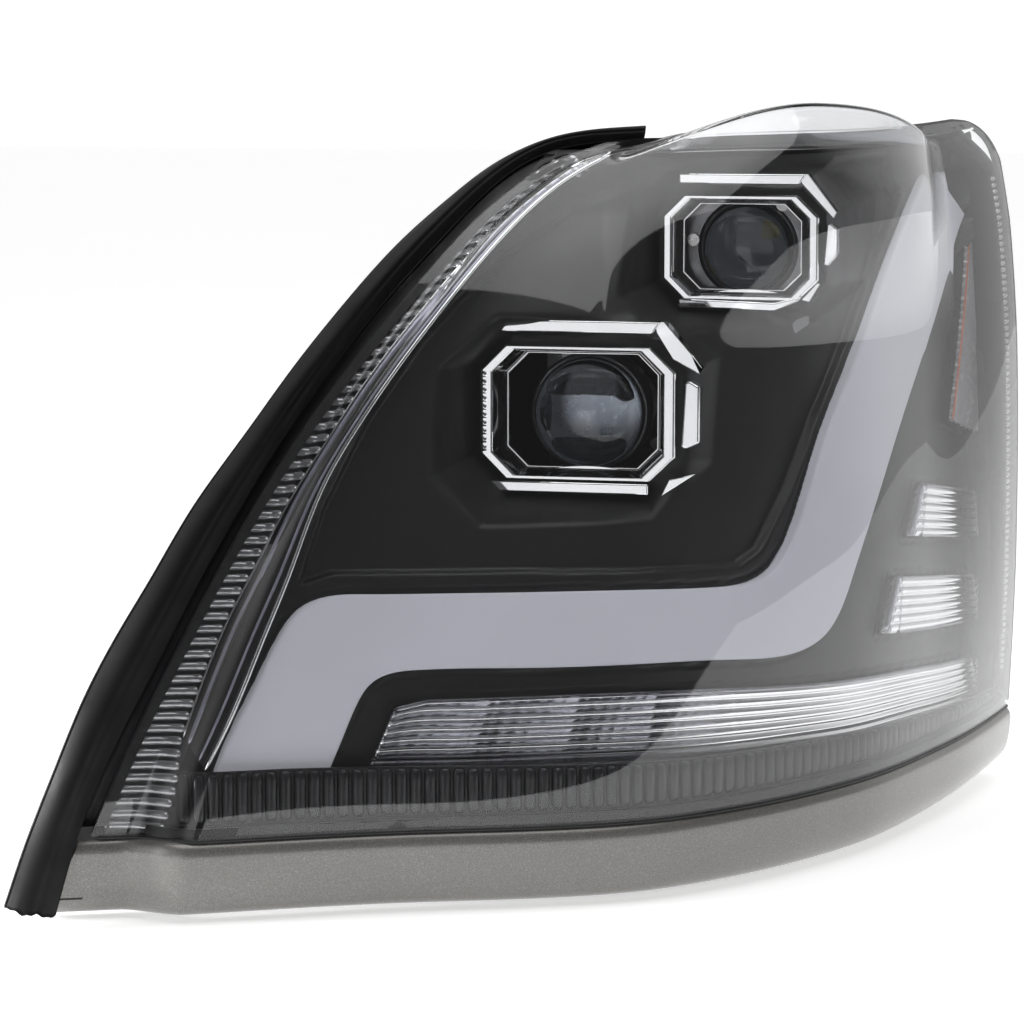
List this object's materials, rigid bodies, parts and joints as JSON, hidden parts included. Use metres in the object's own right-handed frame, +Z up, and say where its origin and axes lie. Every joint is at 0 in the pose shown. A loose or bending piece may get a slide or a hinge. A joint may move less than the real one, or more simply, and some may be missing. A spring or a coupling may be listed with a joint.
{
  "type": "vehicle headlamp assembly",
  "caption": "Swept wrap-around projector headlamp with daytime light bar, fluted turn strip, aimable projector carrier, rubber hood seal and painted lower trim.",
  "frame": {"origin": "centre of the four rear mounting holes, on the plane of their mouths", "axes": "+X outboard (vehicle left side), +Y rearward so the lamp shines along -Y, +Z up"},
  "size_m": [0.5598, 0.6743, 0.4812],
  "materials": {
    "lens_clear": "clear hard-coated polycarbonate",
    "sealant": "cured black sealant",
    "housing_black": "moulded black polypropylene",
    "bezel_grey": "satin dark grey moulding",
    "chrome": "polished plating",
    "light_guide": "milky diffuser",
    "clear_flute": "clear fluted lens",
    "reflector_silver": "vacuum metallised",
    "side_reflector": "prismatic reflector",
    "lens_glass": "ground aspheric glass",
    "grey_metal": "satin cast",
    "heat_sink": "black anodised extrusion",
    "circuit_board": "white solder mask",
    "led_chip": "phosphor coated chips",
    "fan_black": "moulded nylon",
    "seal_rubber": "dusty black EPDM",
    "trim_paint": "metallic champagne grey",
    "screw_steel": "zinc plated",
    "brass": "bright",
    "cap_plastic": "ribbed black plastic",
    "adjuster_nylon": "natural nylon",
    "vent_membrane": "moulded vent cap"
  },
  "bodies": {
    "housing": {"outer_lens": "lens_clear", "lens_sealant_bead": "sealant", "rear_housing": "housing_black", "inner_bezel": "bezel_grey", "drl_light_bar": "light_guide", "drl_reflector_tray": "reflector_silver", "drl_circuit_strip": "circuit_board", "turn_signal_lens": "clear_flute", "turn_signal_reflector": "reflector_silver", "turn_signal_leds": "led_chip", "side_marker_lens_lower": "clear_flute", "side_marker_lens_upper": "clear_flute", "side_reflector": "side_reflector", "side_marker_leds": "led_chip", "hood_seal": "seal_rubber", "lower_trim": "trim_paint", "chrome_frame_low": "chrome", "chrome_frame_high": "chrome", "pivot_bracket": "grey_metal", "service_port_low": "housing_black", "service_port_high": "housing_black", "connector_inlet": "housing_black", "connector_terminals": "brass", "led_driver_module": "heat_sink", "driver_standoffs": "housing_black", "vent_caps": "vent_membrane", "mounting_bosses": "housing_black", "mounting_inserts": "brass", "seal_retainer": "housing_black", "trim_bracket": "housing_black", "chrome_accent_bars": "chrome", "port_gaskets": "seal_rubber", "adjuster_bushings": "adjuster_nylon"},
    "aim_cross": {"aim_cross": "grey_metal"},
    "projector_carrier": {"projector_carrier": "grey_metal", "carrier_ears": "grey_metal", "adjuster_sockets": "adjuster_nylon", "module_clamp_ring": "grey_metal", "carrier_screws": "screw_steel", "cutoff_shield_low": "screw_steel", "led_emitters": "led_chip", "projector_lens_low": "lens_glass", "lens_retainer_low": "grey_metal", "projector_bowl_low": "reflector_silver", "led_board_low": "circuit_board", "heat_sink_low": "heat_sink", "fan_frame_low": "fan_black", "projector_lens_high": "lens_glass", "lens_retainer_high": "grey_metal", "projector_bowl_high": "reflector_silver", "led_board_high": "circuit_board", "heat_sink_high": "heat_sink", "fan_frame_high": "fan_black"},
    "vertical_adjuster": {"adjuster_screw_vertical": "screw_steel"},
    "horizontal_adjuster": {"adjuster_screw_horizontal": "screw_steel"},
    "fan_low": {"fan_rotor_low": "fan_black"},
    "fan_high": {"fan_rotor_high": "fan_black"},
    "service_cap_low": {"service_cap_low": "cap_plastic"},
    "service_cap_high": {"service_cap_high": "cap_plastic"}
  },
  "joints": [
    {"name": "aim_horizontal", "type": "hinge", "parent": "housing", "child": "aim_cross", "pos_m": [0.113, -0.105, 0.097], "axis": [0, 0, 1], "range_deg": [-2.5, 2.5]},
    {"name": "aim_vertical", "type": "hinge", "parent": "aim_cross", "child": "projector_carrier", "pos_m": [0.113, -0.105, 0.097], "axis": [1, 0, 0], "range_deg": [-3, 3]},
    {"name": "vertical_adjuster_travel", "type": "slide", "parent": "housing", "child": "vertical_adjuster", "axis": [0, 1, 0], "range_m": [-0.0049, 0.0049]},
    {"name": "horizontal_adjuster_travel", "type": "slide", "parent": "housing", "child": "horizontal_adjuster", "axis": [0, 1, 0], "range_m": [-0.0031, 0.0031]},
    {"name": "fan_low_spin", "type": "hinge", "parent": "projector_carrier", "child": "fan_low", "pos_m": [0.0682, -0.1147, 0.0467], "axis": [0, 1, 0], "continuous": true},
    {"name": "fan_high_spin", "type": "hinge", "parent": "projector_carrier", "child": "fan_high", "pos_m": [0.1569, -0.0597, 0.1471], "axis": [0, 1, 0], "continuous": true},
    {"name": "cap_low_twist", "type": "hinge", "parent": "housing", "child": "service_cap_low", "pos_m": [0.0682, -0.0434, 0.0467], "axis": [-0.5483, 0.7878, -0.2807], "range_deg": [0, 45]},
    {"name": "cap_high_twist", "type": "hinge", "parent": "housing", "child": "service_cap_high", "pos_m": [0.1509, 0.06697, 0.1431], "axis": [-0.6311, 0.6143, -0.4736], "range_deg": [0, 45]}
  ],
  "couplings": [
    {"joint": "vertical_adjuster_travel", "follows": "aim_vertical", "m_per_rad": 0.092},
    {"joint": "horizontal_adjuster_travel", "follows": "aim_horizontal", "m_per_rad": -0.068}
  ]
}
